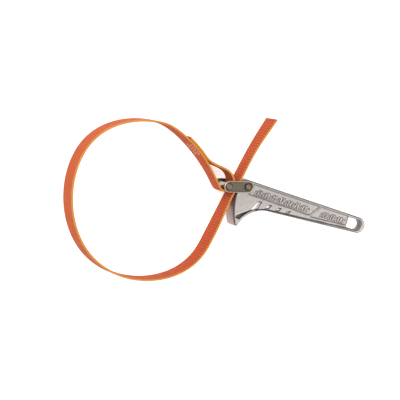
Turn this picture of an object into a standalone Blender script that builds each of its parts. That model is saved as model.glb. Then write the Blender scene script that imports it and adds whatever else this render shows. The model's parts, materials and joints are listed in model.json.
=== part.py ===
"""Strap wrench for oil filters.

A woven strap is sewn into an eye round one pin of a two-plate link. The handle swings on
the other pin, and the strap's free end is threaded back between the eye and the handle's
head. +Z runs along both pins, +X from the strap pin to the pivot pin, and the origin is on
the pivot pin's rear end, so the tool lies on the plane z = 0. Lengths are in metres.
"""

from math import atan2, cos, pi, radians, sin, sqrt, tan

import bmesh
import bpy
from mathutils import Vector
from mathutils.geometry import interpolate_bezier

# Clearances
TOUCH_GAP = 0.0003          # between pieces that touch
SIDE_PLAY = 0.0004          # between the head and each link plate

# Link
PLATE_WALL = 0.00255        # of each plate, above and below the strap pin
PLATE_THICKNESS = 0.0026
PLATE_RIM = 0.0012
PLATE_RECESS = 0.0004
PLATE_EDGE = 0.0004
STRAP_PIN_RADIUS = 0.0032
PIVOT_PIN_RADIUS = 0.0030
PIN_EDGE = 0.0004
PIVOT_SLOT_PLAY = 0.0010    # both plates' pivot holes are longer than they are high by this

# Strap
STRAP_WIDTH = 0.0190
STRAP_THICKNESS = 0.0022
LOOP_LONG = 0.1645          # outside sizes of the oval loop
LOOP_SHORT = 0.1515
LOOP_TILT = radians(-45)
LOOP_BELOW_THROAT = 0.0600  # loop centre to throat, along the run
LOOP_LIE = (                # how the loop lies off its oval: waves round it, cosine, sine
    (0, 0.00042, 0.0),
    (1, -0.00094, -0.00129),
    (2, -0.00054, 0.00024),
    (4, -0.00098, 0.0),
)
RUN_LEAN = radians(26)      # the run's angle from the Y axis
RUN_ROOM = 0.0018           # between the run and the handle's boss
EYE_ROOM = 0.0006           # between the run and the eye
TAIL_STRAIGHT = 0.0200
TAIL_LENGTH = 0.0730
TAIL_CURL = radians(7)
EYE_SLACK = 0.0042          # of the eye's inner radius, past the strap pin's
EYE_PULL = radians(118)     # direction in which the eye pulls on the strap pin
EYE_ENTRY = radians(209.5)    # where the loop's strand meets the eye's round end
EYE_EXIT = radians(372)
LAP_NORMAL = radians(78)    # outward direction of the loop where it leaves its oval
LAP_START = 0.0295          # cut end of the lap, from there
LAP_LENGTH = 0.0265
LAP_REACH = 0.20            # how stiffly the strap leaves the oval, as a share of the way
LOOP_BOTTOM = radians(270)
STRAND_REACH = 0.40         # how far a strand keeps its heading, as a share of its span

# Handle, in its own frame: x from the pivot to the tip, the pivot at the origin
HANDLE_REST = radians(-14)
HANDLE_LENGTH = 0.1500      # pivot to tip
HEAD_MARGIN = 0.0010        # how much thicker the head is than the strap is wide
TIP_THICKNESS = 0.0110
BOSS_WALL = 0.0038          # round the pivot pin
TIP_RADIUS = 0.0083
TIP_DROP = 0.0058           # tip centre below the pivot
BEAM_TAPER = radians(2.1)   # of the lower edge
CROOK_RADIUS = 0.0325       # hollow curve between the beam and the head
CROOK_START = 0.0328
HEAD_REACH = 0.0410         # head's lowest corner below the pivot
BOSS_END = radians(178)     # where the boss's round back stops
FACE_TOP = Vector((-0.0092, -0.0075))
FACE_SHOULDER = Vector((0.0004, 0.0018))    # bend above the face, from its top
FACE_FOOT_X = -0.0010
FACE_RADIUS = 0.0640
CASTING_EDGE = 0.0008
RIM_WIDTH = 0.0026
PANEL_DEPTH = 0.0011
PANEL_START = 0.0110
PANEL_DIVIDE = 0.0860
PANEL_SLANT = 0.0060
PANEL_STEP = 0.0062         # lower line of the long panel, below the pivot
PANEL_FALL = 0.0035
POCKET_DEPTH = 0.0045
POCKET_TOP = Vector((0.0166, -0.0110))
POCKET_TOP_FALL = 0.0012    # across the pocket's top, which is one notch wide
POCKET_NOSE_TURN = radians(112)
POCKET_FOOT_TURN = radians(150)
POCKET_FOOT_WIDTH = 0.0034
CROOK_RIM = 0.0018
NOTCH_DEPTH = 0.0022
NOTCH_COUNT = 3
NOTCH_START = 0.0262
NOTCH_SPACING = 0.0125
NOTCH_HEIGHT = 0.0052
NOTCH_WIDTH = 0.0046
NOTCH_LEAN = 0.0030
NOTCH_SHRINK = 0.82
HANG_HOLE_RIM = 0.0026      # metal above and below the hole
HANG_HOLE_LENGTH = 0.0183
HANG_HOLE_WALL = 0.0045     # metal between the hole and the tip

# Steps round each curve
STRAND_STEPS = 32
EYE_STEPS = 22
LOOP_STEPS = 56
BEND_STEPS = 14
RUN_STEPS = 18
CURL_STEPS = 12
SLOT_STEPS = 24
CASTING_STEPS = 16
PIN_SIDES = 48
CREASE = radians(35)        # sharper edges than this stay sharp
CUTTER_REACH = 0.0030       # how far a cutter stands out of what it cuts

# Derived
HALF_STRAP = STRAP_THICKNESS / 2
EYE_RADIUS = STRAP_PIN_RADIUS + EYE_SLACK
BOSS_RADIUS = PIVOT_PIN_RADIUS + BOSS_WALL
RUN_TO_PIVOT = BOSS_RADIUS + RUN_ROOM + HALF_STRAP
LINK_PITCH = RUN_TO_PIVOT + HALF_STRAP + EYE_ROOM + STRAP_THICKNESS + EYE_RADIUS
HEAD_THICKNESS = STRAP_WIDTH + HEAD_MARGIN
HANG_HOLE_RADIUS = TIP_RADIUS - HANG_HOLE_RIM
PLATE_SPACING = HEAD_THICKNESS + 2 * SIDE_PLAY
TOTAL_DEPTH = PLATE_SPACING + 2 * PLATE_THICKNESS
MID_Z = TOTAL_DEPTH / 2
PLATE_RADIUS = STRAP_PIN_RADIUS + PLATE_WALL
STRAP_PIN = Vector((-LINK_PITCH, 0.0))
PIVOT = Vector((0.0, 0.0))
TIP_CENTRE = Vector((HANDLE_LENGTH - TIP_RADIUS, -TIP_DROP))
RUN_UP = Vector((sin(RUN_LEAN), cos(RUN_LEAN)))
RUN_SIDE = Vector((cos(RUN_LEAN), -sin(RUN_LEAN)))
THROAT = -RUN_SIDE * RUN_TO_PIVOT
END_GAP = TOUCH_GAP / LOOP_SHORT    # half the gap between two stretches, as an angle


# ---------------------------------------------------------------- scene helpers

def clear_scene():
    """Remove every object that the scene starts with."""
    for old in list(bpy.data.objects):
        bpy.data.objects.remove(old, do_unlink=True)


def new_collection(name):
    """Add a collection to the scene."""
    collection = bpy.data.collections.new(name)
    bpy.context.scene.collection.children.link(collection)
    return collection


def finish(name, colour, roughness, metallic):
    """A Principled material."""
    material = bpy.data.materials.new(name)
    material.use_nodes = True
    shader = material.node_tree.nodes["Principled BSDF"]
    shader.inputs["Base Color"].default_value = (*colour, 1.0)
    shader.inputs["Roughness"].default_value = roughness
    shader.inputs["Metallic"].default_value = metallic
    return material


def pivot_empty(name, place):
    """An empty on a joint's axis, for the pieces that turn or slide together."""
    empty = bpy.data.objects.new(name, None)
    empty.location = (place.x, place.y, MID_Z)
    parts.objects.link(empty)
    return empty


def add_mesh_object(name, mesh, collection):
    """Wrap a mesh in an object and link it."""
    obj = bpy.data.objects.new(name, mesh)
    collection.objects.link(obj)
    if collection is cutters:
        obj.hide_render = True
        obj.display_type = "WIRE"
    return obj


def place(obj, parent, point, z, turn=0.0):
    """Put an object at a point of the plan, under its parent empty."""
    obj.location = (point.x, point.y, z)
    obj.rotation_euler = (0.0, 0.0, turn)
    if parent:
        obj.parent = parent
        obj.location -= parent.location


def outline_plate(name, outline, low, high, collection):
    """A flat outline as a filled 2D curve, made a closed mesh from z low to z high."""
    curve = bpy.data.curves.new(name + "_outline", "CURVE")
    curve.dimensions = "2D"
    curve.fill_mode = "BOTH"
    curve.extrude = (high - low) / 2
    spline = curve.splines.new("POLY")
    spline.points.add(len(outline) - 1)
    for point, corner in zip(spline.points, outline):
        point.co = (corner.x, corner.y, 0.0, 1.0)
    spline.use_cyclic_u = True
    guide = bpy.data.objects.new(name + "_outline", curve)
    cutters.objects.link(guide)
    bpy.context.view_layer.update()
    mesh = bpy.data.meshes.new_from_object(guide.evaluated_get(bpy.context.evaluated_depsgraph_get()))
    bpy.data.objects.remove(guide)
    mesh.name = name
    work = bmesh.new()
    work.from_mesh(mesh)
    bmesh.ops.remove_doubles(work, verts=work.verts, dist=1e-6)
    bmesh.ops.translate(work, verts=work.verts, vec=(0.0, 0.0, (low + high) / 2))
    bmesh.ops.recalc_face_normals(work, faces=work.faces)
    work.to_mesh(mesh)
    work.free()
    return add_mesh_object(name, mesh, collection)


def cylinder(name, radius, low, high, collection):
    """A closed cylinder along Z."""
    mesh = bpy.data.meshes.new(name)
    work = bmesh.new()
    bmesh.ops.create_cone(work, cap_ends=True, segments=PIN_SIDES, radius1=radius,
                          radius2=radius, depth=high - low)
    bmesh.ops.translate(work, verts=work.verts, vec=(0.0, 0.0, (low + high) / 2))
    work.to_mesh(mesh)
    work.free()
    return add_mesh_object(name, mesh, collection)


def soften(obj, width, segments=2):
    """Round the sharp edges."""
    bevel = obj.modifiers.new("edges", "BEVEL")
    bevel.width = width
    bevel.segments = segments
    bevel.limit_method = "ANGLE"
    bevel.angle_limit = CREASE


def cut(obj, cutter):
    """Take a cutter out of an object."""
    boolean = obj.modifiers.new(cutter.name, "BOOLEAN")
    boolean.operation = "DIFFERENCE"
    boolean.solver = "EXACT"
    boolean.object = cutter


def shade(obj):
    """Smooth shading with sharp creases."""
    obj.data.shade_smooth()
    obj.data.set_sharp_from_angle(angle=CREASE)


# ---------------------------------------------------------------- plan geometry

def spread(start, end, steps):
    """Evenly spaced values from start to end, both included."""
    return [start + (end - start) * i / steps for i in range(steps + 1)]


def direction(angle):
    """Unit vector at an angle from +X."""
    return Vector((cos(angle), sin(angle)))


def arc(centre, radius, start, end, steps):
    """Points on a circle."""
    return [centre + radius * direction(t) for t in spread(start, end, steps)]


def bowed(start, end, radius, steps):
    """Points of a shallow arc from start to end that bows to the right of the way."""
    chord = end - start
    right = Vector((chord.y, -chord.x)).normalized()
    middle = (start + end) / 2 - right * sqrt(radius ** 2 - (chord.length / 2) ** 2)
    first = atan2(*(start - middle).yx)
    last = atan2(*(end - middle).yx)
    last += 2 * pi * round((first - last) / (2 * pi))
    return arc(middle, radius, first, last, steps)


def strand(start, heading, end, end_heading, reach, end_reach, steps):
    """A smooth strand between two points with given headings."""
    span = (end - start).length
    flat = interpolate_bezier(start.to_3d(), (start + heading * span * reach).to_3d(),
                              (end - end_heading * span * end_reach).to_3d(), end.to_3d(),
                              steps + 1)
    return [point.to_2d() for point in flat]


def headings(points):
    """Unit heading at each point of a route."""
    before = [points[0]] + points[:-1]
    after = points[1:] + [points[-1]]
    return [(b - a).normalized() for a, b in zip(before, after)]


def travelled(points):
    """Distance along a route at each of its points."""
    total = [0.0]
    for a, b in zip(points, points[1:]):
        total.append(total[-1] + (b - a).length)
    return total


# ---------------------------------------------------------------- strap route

def loop_support(normal):
    """Half-widths of the loop's centreline oval, and its reach along an outward normal."""
    long = LOOP_LONG / 2 - HALF_STRAP
    short = LOOP_SHORT / 2 - HALF_STRAP
    turn = normal - LOOP_TILT
    return long, short, sqrt((long * cos(turn)) ** 2 + (short * sin(turn)) ** 2)


def loop_lie(normal):
    """How far the loop lies outside its oval, and how fast that changes with the normal."""
    out = sum(c * cos(n * normal) + s * sin(n * normal) for n, c, s in LOOP_LIE)
    change = sum(n * (s * cos(n * normal) - c * sin(n * normal)) for n, c, s in LOOP_LIE)
    return out, change


def loop_centre():
    """The oval touches the run, and its centre is a given way below the throat."""
    reach = loop_support(-RUN_LEAN)[2] + loop_lie(-RUN_LEAN)[0]
    return THROAT - RUN_UP * LOOP_BELOW_THROAT - RUN_SIDE * reach


def loop_point(normal):
    """Point of the loop's centreline whose outward normal has this angle."""
    long, short, reach = loop_support(normal)
    turn = normal - LOOP_TILT
    along = direction(LOOP_TILT) * (long ** 2 * cos(turn) / reach)
    across = direction(LOOP_TILT + pi / 2) * (short ** 2 * sin(turn) / reach)
    out, change = loop_lie(normal)
    lie = direction(normal) * out + direction(normal + pi / 2) * change
    return loop_centre() + along + across + lie


def loop_route(start, end, steps):
    """Centreline of the loop between two outward normals."""
    return [loop_point(normal) for normal in spread(start, end, steps)]


def eye_centre():
    """The strap pin sits in the round end of the eye, on the side away from the pull."""
    seat = EYE_RADIUS - STRAP_PIN_RADIUS - TOUCH_GAP
    return STRAP_PIN + direction(EYE_PULL) * seat


def eye_route():
    """From the cut end, down the lap, round the pin and back up to the loop."""
    centre = eye_centre()
    radius = EYE_RADIUS + HALF_STRAP
    entry = centre + radius * direction(EYE_ENTRY)
    leave = centre + radius * direction(EYE_EXIT)
    main = strand(loop_point(LAP_NORMAL), direction(LAP_NORMAL - pi / 2), entry,
                  direction(EYE_ENTRY + pi / 2), LAP_REACH, STRAND_REACH, STRAND_STEPS)
    apart = STRAP_THICKNESS + TOUCH_GAP
    sewn = [i for i, way in enumerate(travelled(main))
            if LAP_START <= way <= LAP_START + LAP_LENGTH]
    ways = headings(main)
    lap = [main[i] + Vector((-ways[i].y, ways[i].x)) * apart for i in sewn]
    end_way = ways[sewn[-1]]
    back = strand(lap[-1], end_way, leave, -direction(EYE_EXIT + pi / 2), STRAND_REACH,
                  STRAND_REACH, STRAND_STEPS)
    bottom = arc(centre, radius, EYE_EXIT, EYE_ENTRY, EYE_STEPS)
    return lap + back[1:] + bottom[1:] + main[::-1][1:]


def free_route():
    """From the bottom of the loop, up the run, through the throat to the tail's tip."""
    round_part = loop_route(LOOP_BOTTOM + END_GAP, 2 * pi - RUN_LEAN, BEND_STEPS)
    low = round_part[-1]
    high = THROAT + RUN_UP * TAIL_STRAIGHT
    straight = [low.lerp(high, t) for t in spread(0.0, 1.0, RUN_STEPS)]
    curl_length = TAIL_LENGTH - TAIL_STRAIGHT
    curl_radius = curl_length / TAIL_CURL
    middle = high + RUN_SIDE * curl_radius
    start = pi - RUN_LEAN
    curl = arc(middle, curl_radius, start, start - TAIL_CURL, CURL_STEPS)
    return round_part + straight[1:] + curl[1:]


def strap_piece(name, route, parent):
    """A stretch of the strap: a flat 2D curve raised to the width, with Solidify."""
    curve = bpy.data.curves.new(name, "CURVE")
    curve.dimensions = "2D"
    curve.fill_mode = "NONE"
    curve.extrude = STRAP_WIDTH / 2
    spline = curve.splines.new("POLY")
    spline.points.add(len(route) - 1)
    origin = parent.location.to_2d() if parent else PIVOT
    for point, spot in zip(spline.points, route):
        local = spot - origin
        point.co = (local.x, local.y, 0.0, 1.0)
    curve.materials.append(WEBBING)
    obj = bpy.data.objects.new(name, curve)
    parts.objects.link(obj)
    thick = obj.modifiers.new("thickness", "SOLIDIFY")
    thick.thickness = STRAP_THICKNESS
    thick.offset = 0.0
    thick.use_even_offset = True
    place(obj, parent, origin, MID_Z)
    return obj


# ---------------------------------------------------------------- link

def obround(length, radius):
    """Outline of a slot shape from the origin to +X by length."""
    left = arc(Vector((0.0, 0.0)), radius, pi / 2, 3 * pi / 2, SLOT_STEPS)
    right = arc(Vector((length, 0.0)), radius, -pi / 2, pi / 2, SLOT_STEPS)
    return left + right


def link_plate(name, rear, parent):
    """A plate with a raised rim round its outer face, and a slotted pivot hole."""
    low = 0.0 if rear else TOTAL_DEPTH - PLATE_THICKNESS
    high = low + PLATE_THICKNESS
    outward = -1 if rear else 1
    face = low if rear else high
    plate = outline_plate(name, obround(LINK_PITCH, PLATE_RADIUS), low - MID_Z, high - MID_Z, parts)
    soften(plate, PLATE_EDGE)
    floor, mouth = sorted((face - outward * PLATE_RECESS, face + outward * CUTTER_REACH))
    recess = outline_plate(name + "_recess", obround(LINK_PITCH, PLATE_RADIUS - PLATE_RIM),
                           floor - MID_Z, mouth - MID_Z, cutters)
    under, over = low - MID_Z - CUTTER_REACH, high - MID_Z + CUTTER_REACH
    pin_hole = cylinder(name + "_pin_hole", STRAP_PIN_RADIUS + TOUCH_GAP, under, over, cutters)
    slot = outline_plate(name + "_pivot_slot",
                         obround(PIVOT_SLOT_PLAY, PIVOT_PIN_RADIUS + TOUCH_GAP),
                         under, over, cutters)
    place(plate, parent, STRAP_PIN, MID_Z)
    place(recess, None, STRAP_PIN, MID_Z)
    place(pin_hole, None, STRAP_PIN, MID_Z)
    place(slot, None, PIVOT - Vector((PIVOT_SLOT_PLAY, 0.0)), MID_Z)
    for cutter in (recess, pin_hole, slot):
        cut(plate, cutter)
    plate.data.materials.append(LINK_STEEL)
    shade(plate)
    return plate


def pin(name, radius, point, parent):
    """A pin that ends flush with the outer faces of both plates."""
    shaft = cylinder(name, radius, -MID_Z, MID_Z, parts)
    soften(shaft, PIN_EDGE, segments=1)
    shaft.data.materials.append(PIN_STEEL)
    shade(shaft)
    place(shaft, parent, point, MID_Z)
    return shaft


# ---------------------------------------------------------------- handle

def beam_edges(x):
    """Height of the beam's top and bottom edges at a distance from the pivot."""
    span = TIP_CENTRE.length
    slope = atan2(-TIP_DROP, TIP_CENTRE.x) + (TIP_RADIUS - BOSS_RADIUS) / span
    top = (BOSS_RADIUS + x * sin(slope)) / cos(slope)
    foot = TIP_CENTRE.y - TIP_RADIUS / cos(BEAM_TAPER) - (TIP_CENTRE.x - x) * tan(BEAM_TAPER)
    return slope, top, foot


def crook(offset, start, end, steps):
    """The hollow curve under the head, or a curve inside the casting by an offset."""
    centre = Vector((CROOK_START, beam_edges(CROOK_START)[2] - CROOK_RADIUS))
    return arc(centre, CROOK_RADIUS + offset, start, end, steps)


def crook_foot():
    """Angle at which the hollow curve reaches the head's lowest corner."""
    drop = -HEAD_REACH - (beam_edges(CROOK_START)[2] - CROOK_RADIUS)
    return pi - atan2(drop, sqrt(CROOK_RADIUS ** 2 - drop ** 2))


def handle_outline():
    """Side view of the casting, anticlockwise from the top of the boss."""
    slope = beam_edges(0.0)[0]
    boss = arc(PIVOT, BOSS_RADIUS, pi / 2 + slope, BOSS_END, CASTING_STEPS)
    face = bowed(FACE_TOP, Vector((FACE_FOOT_X, -HEAD_REACH)), FACE_RADIUS, CASTING_STEPS)
    hollow = crook(0.0, crook_foot(), pi / 2, CASTING_STEPS)
    tip = arc(TIP_CENTRE, TIP_RADIUS, -pi / 2 + BEAM_TAPER, pi / 2 + slope, CASTING_STEPS)
    return boss + [FACE_TOP + FACE_SHOULDER] + face + hollow + tip


def thickness_share(x):
    """Thickness of the casting at x, as a share of the head's."""
    along = (x - FACE_TOP.x) / (HANDLE_LENGTH - FACE_TOP.x)
    return 1 + along * (TIP_THICKNESS / HEAD_THICKNESS - 1)


def draft(obj):
    """Thin the casting, or a cutter for it, evenly towards the tip."""
    for vertex in obj.data.vertices:
        vertex.co.z *= thickness_share(vertex.co.x)


def panel_outlines():
    """The sunk panels: a long one above a sloping line, and one before the hang hole."""
    def inside(x):
        return beam_edges(x)[1] - RIM_WIDTH

    def foot(x):
        return beam_edges(x)[2] + RIM_WIDTH
    hole_start = HANDLE_LENGTH - HANG_HOLE_WALL - HANG_HOLE_LENGTH
    last = hole_start - RIM_WIDTH
    end = PANEL_DIVIDE - PANEL_SLANT
    long = [Vector((PANEL_START, inside(PANEL_START))), Vector((PANEL_START, -PANEL_STEP)),
            Vector((end, -PANEL_STEP - PANEL_FALL)), Vector((PANEL_DIVIDE, inside(PANEL_DIVIDE)))]
    start = PANEL_DIVIDE + RIM_WIDTH
    short = [Vector((start, inside(start))), Vector((start - PANEL_SLANT, foot(start))),
             Vector((last, foot(last))), Vector((last, inside(last)))]
    return [long, short]


def pocket_outline():
    """The deep pocket between the head's side and the hollow curve."""
    foot = crook(CROOK_RIM + POCKET_FOOT_WIDTH, POCKET_FOOT_TURN, POCKET_FOOT_TURN, 1)[:1]
    curve = crook(CROOK_RIM, POCKET_FOOT_TURN, POCKET_NOSE_TURN, CASTING_STEPS)
    return [POCKET_TOP] + foot + curve + [POCKET_TOP + Vector((NOTCH_WIDTH, -POCKET_TOP_FALL))]


def notch_outlines():
    """Slanting notches above the lower rim, each smaller than the one before."""
    outlines = []
    for i in range(NOTCH_COUNT):
        size = NOTCH_SHRINK ** i
        x = NOTCH_START + i * NOTCH_SPACING
        y = beam_edges(x)[2] + RIM_WIDTH
        up = Vector((NOTCH_LEAN, NOTCH_HEIGHT)) * size
        across = Vector((NOTCH_WIDTH, 0.0)) * size
        corner = Vector((x, y))
        outlines.append([corner, corner + across, corner + across + up, corner + up])
    return outlines


def hang_hole_outline():
    """A slot with one round end, in line with the beam."""
    end = Vector((HANDLE_LENGTH - HANG_HOLE_WALL - HANG_HOLE_RADIUS, -TIP_DROP))
    back = end.x - (HANG_HOLE_LENGTH - HANG_HOLE_RADIUS)
    nose = arc(end, HANG_HOLE_RADIUS, -pi / 2, pi / 2, CASTING_STEPS)
    return nose + [Vector((back, end.y + HANG_HOLE_RADIUS)), Vector((back, end.y - HANG_HOLE_RADIUS))]


def build_handle(parent):
    """The casting, with its sunk panels, pocket, notches, hang hole and pin bore."""
    half = HEAD_THICKNESS / 2
    clear = half + CUTTER_REACH
    handle = outline_plate("handle", handle_outline(), -half, half, parts)
    draft(handle)
    soften(handle, CASTING_EDGE)
    holes = [cylinder("pivot_bore", PIVOT_PIN_RADIUS + TOUCH_GAP, -clear, clear, cutters),
             outline_plate("hang_hole", hang_hole_outline(), -clear, clear, cutters)]
    sunk = [("panel", outline, PANEL_DEPTH) for outline in panel_outlines()]
    sunk += [("pocket", pocket_outline(), POCKET_DEPTH)]
    sunk += [("notch", outline, NOTCH_DEPTH) for outline in notch_outlines()]
    for kind, outline, depth in sunk:
        for side, low, high in (("front", half - depth, clear), ("rear", -clear, depth - half)):
            cutter = outline_plate(kind + "_" + side, outline, low, high, cutters)
            draft(cutter)
            holes.append(cutter)
    place(handle, parent, PIVOT, MID_Z, HANDLE_REST)
    for cutter in holes:
        place(cutter, None, PIVOT, MID_Z, HANDLE_REST)
        cut(handle, cutter)
    handle.data.materials.append(CAST_ALUMINIUM)
    shade(handle)
    return handle


# ---------------------------------------------------------------- build

def main():
    """Build every piece under the empties on the joint axes."""
    link_axis = pivot_empty("link_axis", STRAP_PIN)
    handle_axis = pivot_empty("handle_axis", PIVOT)
    throat_guide = pivot_empty("throat_guide", THROAT)
    link_plate("rear_link_plate", True, link_axis)
    link_plate("front_link_plate", False, link_axis)
    pin("strap_pin", STRAP_PIN_RADIUS, STRAP_PIN, link_axis)
    pin("pivot_pin", PIVOT_PIN_RADIUS, PIVOT, link_axis)
    build_handle(handle_axis)
    strap_piece("strap_eye", eye_route(), None)
    loop = loop_route(LAP_NORMAL + 2 * END_GAP, LOOP_BOTTOM - END_GAP, LOOP_STEPS)
    strap_piece("strap_loop", loop, None)
    strap_piece("strap_free_end", free_route(), throat_guide)
    bpy.context.view_layer.update()


clear_scene()
parts = new_collection("strap_wrench")
cutters = new_collection("strap_wrench_cutters")
CAST_ALUMINIUM = finish("cast_aluminium", (0.62, 0.58, 0.55), 0.38, 0.9)
LINK_STEEL = finish("link_steel", (0.32, 0.29, 0.25), 0.42, 0.9)
PIN_STEEL = finish("pin_steel", (0.36, 0.33, 0.30), 0.35, 0.9)
WEBBING = finish("webbing", (0.62, 0.10, 0.025), 0.8, 0.0)
main()
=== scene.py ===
"""Looks of a strap wrench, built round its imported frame.

The webbing is modelled along the same route as its solids, with real ribs. The handle, link
plates and pins are rebuilt as finer meshes in the place of their solids. Lengths in metres.
"""

import json
from math import atan2, cos, pi, radians, sin, sqrt, tan

import bpy
import numpy as np
from mathutils import Matrix, Vector
from mathutils.geometry import delaunay_2d_cdt, interpolate_bezier


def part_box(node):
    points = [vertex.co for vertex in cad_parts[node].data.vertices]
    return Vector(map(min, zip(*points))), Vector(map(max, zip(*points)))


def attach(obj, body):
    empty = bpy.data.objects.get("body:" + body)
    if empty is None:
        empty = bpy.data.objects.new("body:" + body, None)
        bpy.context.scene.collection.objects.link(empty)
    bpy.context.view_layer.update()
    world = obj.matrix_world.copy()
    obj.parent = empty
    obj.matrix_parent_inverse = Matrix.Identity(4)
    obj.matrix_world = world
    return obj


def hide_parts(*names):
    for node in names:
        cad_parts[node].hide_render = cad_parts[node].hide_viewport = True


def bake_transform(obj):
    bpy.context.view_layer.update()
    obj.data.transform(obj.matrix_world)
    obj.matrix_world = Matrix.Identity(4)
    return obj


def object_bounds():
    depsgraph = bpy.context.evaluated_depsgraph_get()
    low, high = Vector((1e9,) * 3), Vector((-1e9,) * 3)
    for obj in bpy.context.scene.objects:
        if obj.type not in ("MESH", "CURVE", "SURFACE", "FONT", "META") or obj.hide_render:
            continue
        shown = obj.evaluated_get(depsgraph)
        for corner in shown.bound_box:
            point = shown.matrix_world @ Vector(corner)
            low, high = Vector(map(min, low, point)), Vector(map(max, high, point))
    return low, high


bl_info = {
    "name": "Strap Wrench",
    "version": (1, 0, 0),
    "blender": (4, 5, 0),
    "location": "3D View > Sidebar > Strap Wrench",
    "description": "Webbing, casting and link of a strap wrench, built round its frame",
    "category": "Object",
}

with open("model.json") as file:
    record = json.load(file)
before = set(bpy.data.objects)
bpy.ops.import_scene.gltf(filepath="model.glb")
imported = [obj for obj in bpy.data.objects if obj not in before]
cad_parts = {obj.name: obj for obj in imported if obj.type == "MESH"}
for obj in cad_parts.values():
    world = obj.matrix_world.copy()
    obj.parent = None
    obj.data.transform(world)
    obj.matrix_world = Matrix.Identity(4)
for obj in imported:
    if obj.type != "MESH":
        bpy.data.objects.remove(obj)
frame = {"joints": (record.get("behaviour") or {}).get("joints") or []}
CAD_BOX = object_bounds()
JOINTS = {joint["name"]: joint for joint in frame["joints"]}
STRAP_PIN = np.array(JOINTS["link_swing"]["pos_m"][:2])
PIVOT = np.array(JOINTS["handle_swing"]["pos_m"][:2])
MID_Z = JOINTS["handle_swing"]["pos_m"][2]
RUN_UP = np.array(JOINTS["strap_feed"]["axis"][:2])
RUN_SIDE = np.array((RUN_UP[1], -RUN_UP[0]))
RUN_LEAN = atan2(RUN_UP[0], RUN_UP[1])
DEPTH = CAD_BOX[1].z - CAD_BOX[0].z

# Strap route: a loop that is nearly an oval, a straight run through the throat, and a tail
TOUCH_GAP = 0.0003          # between pieces that rest on each other
HALF_STRAP = 0.0011
LOOP_LONG = 0.1645
LOOP_SHORT = 0.1515
LOOP_TILT = radians(-45)
LOOP_BELOW_THROAT = 0.0600
LOOP_BOTTOM = radians(270)  # outward normal where the free end takes over from the sewn end
LOOP_LIE = (                # how the loop lies off its oval: waves round it, cosine, sine
    (0, 0.00042, 0.0),
    (1, -0.00094, -0.00129),
    (2, -0.00054, 0.00024),
    (4, -0.00098, 0.0),
)
RUN_TO_PIVOT = 0.0097
THROAT = PIVOT - RUN_SIDE * RUN_TO_PIVOT
TAIL_STRAIGHT = 0.0200
TAIL_LENGTH = 0.0730
TAIL_CURL = radians(7)
EYE_RADIUS = 0.0074
EYE_PULL = radians(118)     # from the strap pin to the middle of the eye's round end
EYE_ENTRY = radians(209.5)
EYE_EXIT = radians(372)
LAP_NORMAL = radians(78)    # outward normal where the loop leaves its oval for the eye
LAP_START = 0.0295          # along the strap from there
LAP_LENGTH = 0.0265
LAP_REACH = 0.20            # share of its span that a strand keeps its first heading for
STRAND_REACH = 0.40
ROUTE_STEPS = 240
SKEW = 0.120                # how far the webbing leans over, per metre of its width
SKEW_START = 0.010          # from the link, where the lean begins
SKEW_END = 0.050            # and where it is full
TAIL_SKEW_START = 0.032     # the same for the tail, which has to feed back through the throat
RINGS_PER_RIB = 8

# Seam of the lap: rows of stitches along it, columns across it
SEAM_ROWS = 5
SEAM_COLUMNS = 3
SEAM_START = LAP_START + 0.0080
SEAM_PITCH = 0.0031
SEAM_STAGGER = 0.0012       # how far every other column is shifted along the lap
SEAM_SPREAD = 0.0040        # between columns
SEAM_MIDDLE = 0.4           # column that would lie on the webbing's middle
STITCH_RADIUS = 0.00048
STITCH_HALF_LENGTH = 0.00085
STITCH_SINK = 0.00012

# Casting, in its own frame: x from the pivot to the tip
HANDLE_REST = radians(-14)
HANDLE_LENGTH = 0.1500
HEAD_THICKNESS = 0.0200
TIP_THICKNESS = 0.0110
BOSS_RADIUS = 0.0068
BOSS_END = radians(178)
TIP_RADIUS = 0.0083
TIP_DROP = 0.0058
BEAM_TAPER = radians(2.1)
CROOK_RADIUS = 0.0325
CROOK_START = 0.0328
HEAD_REACH = 0.0410
FACE_TOP = np.array((-0.0092, -0.0075))
FACE_SHOULDER = np.array((0.0004, 0.0018))
FACE_FOOT_X = -0.0010
FACE_RADIUS = 0.0640
PANEL_ROUND = 0.0076        # radius of the panel's left end, about the pivot
PANEL_STEP = 0.0073
PANEL_FALL = 0.035
PANEL_WALL = 0.0006
PANEL_CORNER = 0.0007
SLASH_TOP = 0.0895          # x of the slanting web between the panels
SLASH_FOOT = 0.0797
SLASH_WIDTH = 0.0011
SHORT_PANEL_START = (0.0812, -0.0116)
SHORT_PANEL_END = -0.0097   # y of its lower corner beside the hang hole
BAR_ROWS = (                # start, end, and the bars' feet at both
    (0.0105, 0.0775, -0.0058, -0.0078),
    (0.0930, 0.1220, -0.0083, -0.0085),
)
BAR_TALL = 0.0058
BAR_SHORT = 0.72            # height of each third bar, as a share of the others
BAR_SLANT = 0.0018
LOW_LINE_OFFSET = 0.0013    # from the crook and the beam's lower edge to the line inside them
LOW_LINE_RISE = 0.0014      # further from the beam's edge by the end of the line
LOW_LINE_END = 0.1400
NOTCHES = (
    ((0.0262, -0.0166), (0.0312, -0.0158), (0.0340, -0.0112), (0.0284, -0.0118)),
    ((0.0386, -0.0155), (0.0436, -0.0150), (0.0456, -0.0113), (0.0410, -0.0118)),
    ((0.0508, -0.0149), (0.0552, -0.0146), (0.0572, -0.0118), (0.0533, -0.0120)),
)
NOTCH_DEPTH = 0.0019
GUSSET = ((0.0166, -0.0112), (0.0096, -0.0228), (0.0150, -0.0212), (0.0197, -0.0186),
          (0.0216, -0.0106))
GUSSET_DEPTH = 0.0024
GUSSET_FALL = (0.0100, 0.0200)
POCKET_BANK = 0.0021        # from the crook to the pocket
POCKET_SPAN = (radians(117), radians(151))
POCKET_TOP = (0.0118, -0.0212)
POCKET_FOOT = ((-0.0030, -0.0330), (-0.0034, -0.0310))
HANG_HOLE_RADIUS = 0.0057
HANG_HOLE_LENGTH = 0.0183
HANG_HOLE_WALL = 0.0045
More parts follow.
